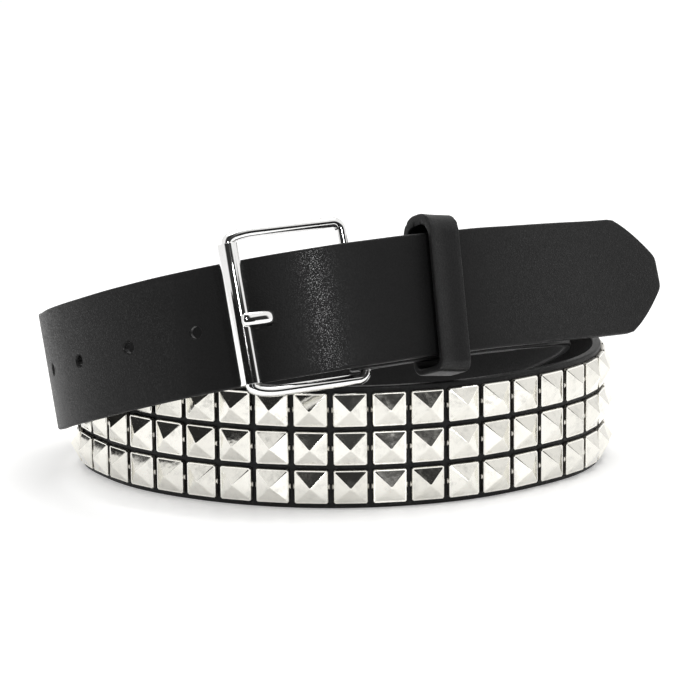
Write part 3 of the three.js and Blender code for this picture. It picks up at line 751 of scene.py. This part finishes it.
# run is a share of the way to the roller, rise is in prong thicknesses, then width and thickness
PRONG_SECTIONS = [
    (0.06, -0.15, 0.68, 0.9), (0.3, -0.45, 0.68, 0.9), (0.55, -0.66, 0.64, 0.9),
    (0.66, -0.9, 0.6, 0.88), (0.736, -0.95, 0.6, 0.88), (0.758, -0.2, 0.6, 0.88),
    (0.75, 0.5, 0.9, 0.95), (0.755, 1.0, 1, 1.1), (0.785, 1.42, 1, 1.1),
    (0.85, 1.7, 1, 1), (0.93, 1.9, 1, 1), (1.0, 1.98, 0.98, 0.95), (1.035, 1.92, 0.7, 0.6),
]
middles = [Vector((run * SPAN, rise * PRONG_THICK, 0)) for run, rise, _, _ in PRONG_SECTIONS]
prong = start(
    bpy.ops.mesh.primitive_circle_add, "prong_bar", vertices=PRONG_SIDES, radius=1,
    fill_type="NGON",
)
bpy.ops.object.mode_set(mode="EDIT")
for _ in PRONG_SECTIONS[1:]:
    lift(1)
bpy.ops.object.mode_set(mode="OBJECT")
points = places_of(prong)
sections = np.rint(points[:, 2]).astype(int)
for i, (_, _, wide, thick) in enumerate(PRONG_SECTIONS):
    before, after = middles[max(i - 1, 0)], middles[min(i + 1, len(middles) - 1)]
    normal = Vector((-(after - before).y, (after - before).x, 0)).normalized()
    these = sections == i
    x, y = points[these, 0], points[these, 1]
    square = np.maximum(np.abs(x), np.abs(y)) ** PRONG_SQUARE
    x, y = x / square, y / square
    points[these] = (
        np.array(middles[i])
        + y[:, None] * np.array(normal) * thick * PRONG_THICK / 2 * PRONG_TRIM
        + np.outer(x * wide * PRONG_WIDE / 2 * PRONG_TRIM, (0, 0, 1))
    )
put_places(prong, points)
close_and_turn_out(prong, 1e-5)
apply_modifier(prong, "SUBSURF", levels=2, render_levels=2)
eye = start(
    bpy.ops.mesh.primitive_cylinder_add, "eye", vertices=48, radius=BORE + EYE_WALL,
    depth=EYE_WIDE, end_fill_type="NOTHING",
)
apply_modifier(eye, "SOLIDIFY", thickness=EYE_WALL, offset=-1)
apply_modifier(
    eye, "BEVEL", width=0.25, segments=2, limit_method="ANGLE", angle_limit=math.radians(60),
)
bore = start(
    bpy.ops.mesh.primitive_cylinder_add, "bore", vertices=48, radius=BORE, depth=2 * PRONG_WIDE,
)
apply_modifier(prong, "BOOLEAN", operation="DIFFERENCE", solver="EXACT", object=bore)
apply_modifier(prong, "BOOLEAN", operation="UNION", solver="EXACT", object=eye)
for used in (bore, eye):
    bpy.data.objects.remove(used)
stand_in_buckle(prong)
close_and_turn_out(prong)
settle(prong, 50)

# %% [markdown]
# ## The keeper loop
#
# The keeper is a narrow leather band round both layers of the strap. It is drawn as a box without
# its two open sides. The lower corners are rounded, and the upper ones more, so that its top arches
# over the strap. Then it gets its wall, its outer face is crowned, the arch is padded on the inside,
# and the edge that faces the buckle stands a little off the strap, as it does on a used belt.

# %% Close the keeper loop
KEEPER_LONG = 11.8
KEEPER_WALL = 2.1
KEEPER_PLAY = 0.35
KEEPER_ABOVE = 3.8
KEEPER_BELOW = 3.6
KEEPER_ROUND = 3.8
KEEPER_ARCH = 6.3
KEEPER_CROWN = 0.3
KEEPER_FLARE = 1.6
KEEPER_PAD = 1.3
KEEPER_TUCK = 0.8
TUCK_OVER = 20
KEEPER_TO_HOLE = 57.4
KEEPER_TILT = math.radians(-6.0)
keeper_at = TIP_TO_HOLE - KEEPER_TO_HOLE
depth_back = float(back_depth(bar_at - keeper_at)) + KEEPER_PLAY
left, right = -depth_back - KEEPER_WALL, KEEPER_PLAY + KEEPER_WALL
foot = -STRAP_WIDTH / 2 - KEEPER_BELOW - KEEPER_WALL
head = STRAP_WIDTH / 2 + KEEPER_ABOVE + KEEPER_WALL


def at_corner(edge, height):
    """Whether an edge runs along the band at one of its two corners at that height."""
    spot = middle(edge)
    lengthwise = abs(edge.verts[0].co.x - edge.verts[1].co.x) > 0.5
    at_side = min(abs(spot.y - left), abs(spot.y - right)) < NEAR
    return lengthwise and at_side and abs(spot.z - height) < NEAR


keeper = start(
    bpy.ops.mesh.primitive_cube_add, "keeper_band", size=1,
    location=(0, (left + right) / 2, (foot + head) / 2),
)
keeper.scale = (KEEPER_LONG, right - left, head - foot)
into_mesh()
bpy.ops.object.mode_set(mode="EDIT")
pick(keeper, "faces", lambda f: abs(f.normal.x) > 0.9)
bpy.ops.mesh.delete(type="ONLY_FACE")
pick(keeper, "edges", lambda e: abs(e.verts[0].co.x - e.verts[1].co.x) > KEEPER_LONG / 2)
bpy.ops.mesh.subdivide(number_cuts=5)
for height, roundness, steps in ((foot, KEEPER_ROUND, 8), (head, KEEPER_ARCH, 12)):
    pick(keeper, "edges", lambda e: at_corner(e, height))
    bpy.ops.mesh.bevel(offset=roundness, segments=steps, affect="EDGES")
bpy.ops.object.mode_set(mode="OBJECT")
apply_modifier(keeper, "SOLIDIFY", thickness=KEEPER_WALL, offset=-1, use_even_offset=True)
apply_modifier(
    keeper, "BEVEL", width=0.5, segments=3, limit_method="ANGLE", angle_limit=math.radians(60),
)

# %% Shape the keeper and put it round the strap
points = places_of(keeper)
across, depth, height = points.T
off_middle = 2 * across / KEEPER_LONG
outer = depth > KEEPER_PLAY + KEEPER_WALL / 2
depth -= np.where(outer, KEEPER_CROWN * off_middle ** 2, 0)
skin = KEEPER_WALL * 0.9
inside = (depth > left + skin) & (depth < right - skin) & (height < head - skin)
arch = np.clip((height - STRAP_WIDTH / 2 + 3) / 4, 0, 1)
height -= np.where(inside, KEEPER_PAD * arch, 0)
to_front = np.clip((depth - left) / (right - left), 0, 1)
depth += KEEPER_FLARE * to_front * np.clip(off_middle, 0, 1) ** 1.5
depth += KEEPER_TUCK * (1 - to_front) * np.clip(height / TUCK_OVER, 0, 1)
keeper_place, keeper_along, keeper_up, keeper_out = (v[0] for v in free_end.at(keeper_at))
turn = np.array(Matrix.Rotation(KEEPER_TILT, 3, "Y"))
put_places(keeper, points @ turn.T)
stand(keeper, keeper_place + keeper_up * STRAP_WIDTH / 2, keeper_along, keeper_out, keeper_up)
close_and_turn_out(keeper)
settle(keeper, 40)

# %% [markdown]
# ## The rivets of the fold
#
# Two plain rivets hold the folded end. Each is a shank with a low domed head on both sides.

# %% Set the rivets
RIVET_HEAD = 7.0
RIVET_HEAD_THICK = 0.7
RIVET_SHANK = 3.0
RIVET_TO_KEEPER = 11.2
# each step of a head: how much of its thickness it adds, and how far it draws in
HEAD_STEPS = ((0.4, 1.0), (0.35, 0.88), (0.2, 0.62))
rivets = []
for number, rivet_at in enumerate((keeper_at + RIVET_TO_KEEPER, keeper_at - RIVET_TO_KEEPER), 1):
    front = -float(front_depth(bar_at - rivet_at)) + RUNNING_GAP / 2
    back = -float(back_depth(bar_at - rivet_at)) - RUNNING_GAP / 2
    rivet = start(
        bpy.ops.mesh.primitive_cylinder_add, f"rivet_{number}", vertices=32,
        radius=RIVET_SHANK / 2, depth=front - back, location=(0, 0, (front + back) / 2),
    )
    into_mesh()
    bpy.ops.object.mode_set(mode="EDIT")
    for end, way in ((front, 1), (back, -1)):
        pick(rivet, "faces", lambda f: f.normal.z * way > 0.9 and abs(middle(f).z - end) < NEAR)
        lift(0)
        widen(RIVET_HEAD / RIVET_SHANK, end)
        for thicker, narrower in HEAD_STEPS:
            lift(way * RIVET_HEAD_THICK * thicker)
            widen(narrower, end)
    bpy.ops.object.mode_set(mode="OBJECT")
    points = places_of(rivet)
    put_places(rivet, points[:, [0, 2, 1]])
    rivet_place, rivet_along, rivet_up, rivet_out = (v[0] for v in free_end.at(rivet_at))
    stand(rivet, rivet_place + rivet_up * STRAP_WIDTH / 2, rivet_along, rivet_out, rivet_up)
    close_and_turn_out(rivet)
    rivets.append(settle(rivet, 30))

# %% [markdown]
# ## Each piece rides on its body and takes its solid's place

# %% Hand the pieces to the frame
HANDED = [
    (strap, "belt", "strap", "strap_leather"),
    (studs, "belt", "stud_field", "stud_nickel"),
    (wire, "belt", "buckle_frame", "buckle_chrome"),
    (roller, "roller", "buckle_roller", "buckle_chrome"),
    (prong, "belt", "buckle_prong", "buckle_chrome"),
    (keeper, "belt", "keeper_loop", "keeper_leather"),
    (rivets[0], "belt", "fold_rivet_1", "rivet_steel"),
    (rivets[1], "belt", "fold_rivet_2", "rivet_steel"),
]
for piece, body, node, slot_name in HANDED:
    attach(piece, body)
    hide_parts(node)
print("pieces:", len(HANDED))

# %% [markdown]
# ## Shader maths in plain Python
#
# A small class wraps a socket, so that masks can be written as ordinary sums. Every other node
# comes from one method that takes its type, its settings and its inputs. A finish is a material,
# and the tent further down is a world, but both are made of the same kind of nodes.

# %% A socket that can be used in sums
class Signal:
    def __init__(self, nodes, socket):
        self.nodes, self.socket = nodes, socket

    def math(self, operation, *values):
        return self.nodes.node("ShaderNodeMath", {"operation": operation}, *values)

    def __add__(self, other): return self.math("ADD", self, other)
    def __radd__(self, other): return self.math("ADD", other, self)
    def __sub__(self, other): return self.math("SUBTRACT", self, other)
    def __rsub__(self, other): return self.math("SUBTRACT", other, self)
    def __mul__(self, other): return self.math("MULTIPLY", self, other)
    def __rmul__(self, other): return self.math("MULTIPLY", other, self)
    def __abs__(self): return self.math("ABSOLUTE", self)
    def most(self, other): return self.math("MAXIMUM", self, other)

    def between(self, low, high):
        """0 at low, 1 at high, and a soft step from one to the other."""
        ends = {"interpolation_type": "SMOOTHSTEP"}
        return self.nodes.node("ShaderNodeMapRange", ends, self, low, high, 0.0, 1.0)


class Nodes:
    """A node tree whose nodes are added by one method."""

    def __init__(self, tree):
        self.tree = tree

    def node(self, kind, settings=None, *values, out=0, **named_values):
        node = self.tree.nodes.new(kind)
        for key, value in (settings or {}).items():
            setattr(node, key, value)
        for key, value in [*enumerate(values), *named_values.items()]:
            self.give(node.inputs[key if isinstance(key, int) else key.replace("_", " ")], value)
        return Signal(self, node.outputs[out])

    def give(self, socket, value):
        if isinstance(value, Signal):
            self.tree.links.new(value.socket, socket)
        else:
            socket.default_value = value


class Finish(Nodes):
    """A material with one Principled shader."""

    def __init__(self, name):
        self.material = bpy.data.materials.new(name)
        self.material.use_nodes = True
        super().__init__(self.material.node_tree)

    def set(self, **values):
        shader = self.tree.nodes["Principled BSDF"]
        for key, value in values.items():
            self.give(shader.inputs[key.replace("_", " ")], value)

    def place(self):
        return self.node("ShaderNodeTexCoord", out="Object")

    def kept(self, name):
        """A number that the mesh keeps at each point."""
        return self.node("ShaderNodeAttribute", {"attribute_name": name}, out="Fac")

    def noise(self, vector, scale, detail=2.0, roughness=0.5):
        return self.node(
            "ShaderNodeTexNoise", {}, Vector=vector, Scale=scale, Detail=detail,
            Roughness=roughness,
        )

    def pebbles(self, vector, scale):
        return self.node(
            "ShaderNodeTexVoronoi", {"feature": "SMOOTH_F1"}, Vector=vector, Scale=scale,
        )

    def blend(self, share, first, second):
        """A colour between two colours."""
        mix = self.tree.nodes.new("ShaderNodeMix")
        mix.data_type = "RGBA"
        self.give(mix.inputs[0], share)
        for socket, colour in ((mix.inputs[6], first), (mix.inputs[7], second)):
            self.give(socket, colour if isinstance(colour, Signal) else (*colour, 1.0))
        return Signal(self, mix.outputs[2])

    def bump(self, height, distance, strength=1.0):
        return self.node(
            "ShaderNodeBump", {}, Height=height, Distance=distance, Strength=strength,
        )

    def cover(self, *objects):
        for o in objects:
            o.data.materials.clear()
            o.data.materials.append(self.material)


def toned(colour, share):
    return tuple(share * c for c in colour)


print("shader helpers are ready")

# %% [markdown]
# ## Black grained leather
#
# The strap is black leather with a fine pebbled grain of about half a millimetre. Voronoi cells
# make the pebbles, and a finer noise breaks them up. The leather itself is dull. A glossy coat on
# the tops of the grain, small specks from one more noise, sparkles where the strip light grazes the
# strap, beside the prong. The keeper is cut from the same leather, rubbed a little greyer.

# %% Finish the leather
CLOUDS = 45.0
PEBBLES = 2100.0
CREASES = 3600.0
SPECKS = 3100.0
GRAIN_DEPTH = 0.00004
STRAP_BLACK = (0.006, 0.006, 0.0063)
KEEPER_BLACK = (0.0085, 0.0085, 0.009)


def leather(name, tone):
    finish = Finish(name)
    place = finish.place()
    drift = finish.noise(place, CLOUDS, 3.0)
    pebbles = finish.pebbles(place, PEBBLES)
    creases = finish.noise(place, CREASES, 2.0, 0.6)
    patches = drift.between(0.35, 0.7)
    grain = 1.0 - pebbles.between(0.05, 0.75)
    height = grain * 0.8 + creases * 0.25
    specks = finish.noise(place, SPECKS, 1.0).between(0.56, 0.68)
    colour = finish.blend(grain.between(0.1, 0.7), toned(tone, 0.72), tone)
    colour = finish.blend(patches * 0.35, colour, toned(tone, 1.35))
    finish.set(
        Base_Color=colour,
        Roughness=0.56 - grain * 0.1 + patches * 0.05,
        Specular_IOR_Level=0.22,
        Coat_Weight=specks * 0.65,
        Coat_Roughness=0.2,
        Coat_IOR=1.45,
        Normal=finish.bump(height, GRAIN_DEPTH),
    )
    return finish


leather("black_pebbled_leather", STRAP_BLACK).cover(strap)
leather("black_keeper_leather", KEEPER_BLACK).cover(keeper)
print("leather on", strap.name, "and", keeper.name)

# %% [markdown]
# ## Pressed nickel for the studs
#
# The studs are bright, slightly warm and smooth, with faint ripples from pressing, and painted shade
# low on the skirt, where the stud meets the leather and is also duller. Each stud has its own small
# number, which shifts its tone and polish.

# %% Finish the studs
SMEARS = 300.0
RIPPLES = 420.0
RIPPLE_DEPTH = 0.00018
DARKER_NICKEL = (0.77, 0.755, 0.7)
LIGHTER_NICKEL = (0.88, 0.865, 0.81)
SMEARED_NICKEL = (0.6, 0.59, 0.55)
# the colour of the painted shade at each stud's foot
FOOT_SHADE_COLOUR = (0.22, 0.2, 0.17)
nickel = Finish("pressed_nickel")
place = nickel.place()
share = nickel.kept("share")
smears = nickel.noise(place, SMEARS, 3.0, 0.6).between(0.45, 0.75)
# painted shade: darker towards the stud's foot on the leather; the same mask also makes the foot
# duller
painted_foot_shade = 1.0 - nickel.kept("rise").between(-0.2, 0.75)
colour = nickel.blend(share, DARKER_NICKEL, LIGHTER_NICKEL)
colour = nickel.blend(smears * 0.45, colour, SMEARED_NICKEL)
colour = nickel.blend(painted_foot_shade * 0.8, colour, FOOT_SHADE_COLOUR)
nickel.set(
    Base_Color=colour,
    Metallic=1.0,
    Roughness=0.1 + share * 0.06 + smears * 0.1 + painted_foot_shade * 0.3,
    Normal=nickel.bump(nickel.noise(place, RIPPLES, 1.0), RIPPLE_DEPTH, 0.35),
)
nickel.cover(studs)
print("nickel on", studs.name)

# %% [markdown]
# ## Chrome for the buckle
#
# The buckle is plated and polished, a little cooler than the studs. Fine rubbing marks change its
# polish only slightly. The rivets are plain brushed steel.

# %% Finish the buckle and the rivets
RUBBING = 900.0
PLATE_CLOUDS = 150.0
PLATE_WAVES = 220.0
PLATE_DEPTH = 0.0001
CHROME = (0.92, 0.92, 0.915)
STEEL = (0.62, 0.61, 0.6)


def plated(name, tone, polish, rubs):
    finish = Finish(name)
    place = finish.place()
    marks = finish.noise(place, RUBBING, 4.0, 0.7).between(0.5, 0.8)
    cloud = finish.noise(place, PLATE_CLOUDS, 2.0).between(0.4, 0.7)
    finish.set(
        Base_Color=finish.blend(marks * 0.4 + cloud * 0.2, tone, toned(tone, 0.86)),
        Metallic=1.0,
        Roughness=polish + marks * rubs + cloud * rubs * 0.5,
        Normal=finish.bump(finish.noise(place, PLATE_WAVES, 1.0), PLATE_DEPTH, 0.15),
    )
    return finish


plated("buckle_chrome_plate", CHROME, 0.06, 0.05).cover(wire, roller, prong)
plated("brushed_rivet_steel", STEEL, 0.28, 0.12).cover(*rivets)
print("plate on", ", ".join(o.name for o in (wire, roller, prong, *rivets)))

# %% [markdown]
# ## Floor, light and camera
#
# The belt stands on a white table in a white tent. Polished metal shows what stands round it, so
# the tent has a dark front, from the camera's side up to the roof, and a low black card stands
# before the belt where only shiny things see it. Both give the upper faces of the studs and the
# wire their dark bands. A soft overhead box lights the belt, and a narrow strip light, high on the
# right, puts the glint on the leather.

# %% Lay the floor
FLOOR_WHITE = (0.93, 0.93, 0.93, 1)
floor = start(bpy.ops.mesh.primitive_plane_add, "studio_floor", size=16, location=(0, 0, 0))
floor_finish = Finish("white_table")
floor_finish.set(
    Base_Color=FLOOR_WHITE, Roughness=0.45, Specular_IOR_Level=0.2,
    Emission_Color=(1, 1, 1, 1), Emission_Strength=0.3,
)
floor_finish.cover(floor)
print("the floor is laid")

# %% Stand a low black card in front
CARD_WIDE = 0.6
CARD_HIGH = 0.15
CARD_AT = (0.03, -0.3, CARD_HIGH / 2)
card = start(bpy.ops.mesh.primitive_plane_add, "black_card", size=1, location=CARD_AT)
card.scale = (CARD_WIDE, CARD_HIGH, 1)
card.rotation_euler = (math.radians(90), 0, 0)
select_only(card)
into_mesh()
card_finish = Finish("black_card_paper")
card_finish.set(Base_Color=(0.01, 0.01, 0.01, 1), Roughness=1.0, Specular_IOR_Level=0.0)
card_finish.cover(card)
card.visible_camera = card.visible_diffuse = card.visible_shadow = False
print("a black card that only shiny things see")

# %% Hang the tent
TENT_LIGHT = 0.95
DARK_LIGHT = 0.03
TENT_WHITE = (1.0, 0.995, 0.985, 1.0)
world = bpy.data.worlds.new("white_tent")
bpy.context.scene.world = world
world.use_nodes = True
tent = Nodes(world.node_tree)
direction = tent.node("ShaderNodeTexCoord", out="Generated")
x, y, z = (tent.node("ShaderNodeSeparateXYZ", {}, direction, out=axis) for axis in "XYZ")
forward = (y * -1.0).most(0.0)
# the front part lies a little to the right of the middle, and narrows towards the roof
from_edge = (forward * 0.95).most(0.34) - abs(x - forward * 0.33)
high_part = from_edge.between(-0.1, 0.1) * forward.between(0.12, 0.3)
right_part = x.between(0.0, 0.1) * forward.between(0.08, 0.22) * z.between(0.52, 0.42)
dark = high_part.most(right_part) * z.between(-0.04, 0.0)
strength = tent.node("ShaderNodeMapRange", {}, dark, 0.0, 1.0, TENT_LIGHT, DARK_LIGHT)
background = tent.tree.nodes["Background"]
tent.give(background.inputs["Strength"], strength)
tent.give(background.inputs["Color"], TENT_WHITE)
print("tent nodes:", len(tent.tree.nodes))


# %% Set up the lights
def softbox(name, place, aim, width, height, power):
    lamp = bpy.data.lights.new(name, "AREA")
    lamp.shape = "RECTANGLE"
    lamp.size, lamp.size_y = width, height
    lamp.energy = power
    holder = bpy.data.objects.new(name, lamp)
    bpy.context.scene.collection.objects.link(holder)
    holder.location = place
    holder.rotation_euler = (Vector(aim) - Vector(place)).to_track_quat("-Z", "Y").to_euler()
    return holder


softbox("overhead_box", (0.1, 0.15, 1.1), (0, 0, 0), 0.9, 0.7, 6.0)
strip = softbox("strip_box", (0.425, -1.11, 0.537), (-0.009, -0.09, 0.07), 0.07, 0.5, 4.6)
strip.visible_diffuse = False
print("overhead box and strip box are up")

# %% Set the camera
TARGET = Vector((6.226, -84.0, 49.494)) + Vector(BOX_SHIFT)
DISTANCE = 900.0
LOOK_DOWN = math.radians(10.4363)
ROLL = math.radians(-0.58568)
LENS_PIXELS = 2959.21
IMAGE_PIXELS = 700
SENSOR = 36.0
camera_data = bpy.data.cameras.new("camera")
camera = bpy.data.objects.new("camera", camera_data)
bpy.context.scene.collection.objects.link(camera)
toward_camera = Vector((0, -math.cos(LOOK_DOWN), math.sin(LOOK_DOWN)))
camera.location = (TARGET + toward_camera * DISTANCE) * MM
facing = (TARGET * MM - camera.location).to_track_quat("-Z", "Y")
camera.rotation_euler = (facing.to_matrix() @ Matrix.Rotation(ROLL, 3, "Z")).to_euler()
camera_data.sensor_width = SENSOR
camera_data.lens = LENS_PIXELS / IMAGE_PIXELS * SENSOR
camera_data.clip_start = 0.01
camera_data.clip_end = 100
bpy.context.scene.camera = camera
bpy.context.scene.view_settings.view_transform = "Standard"
print(f"lens {camera_data.lens:.1f} mm")

# %% Update the scene and finish
bpy.context.view_layer.update()
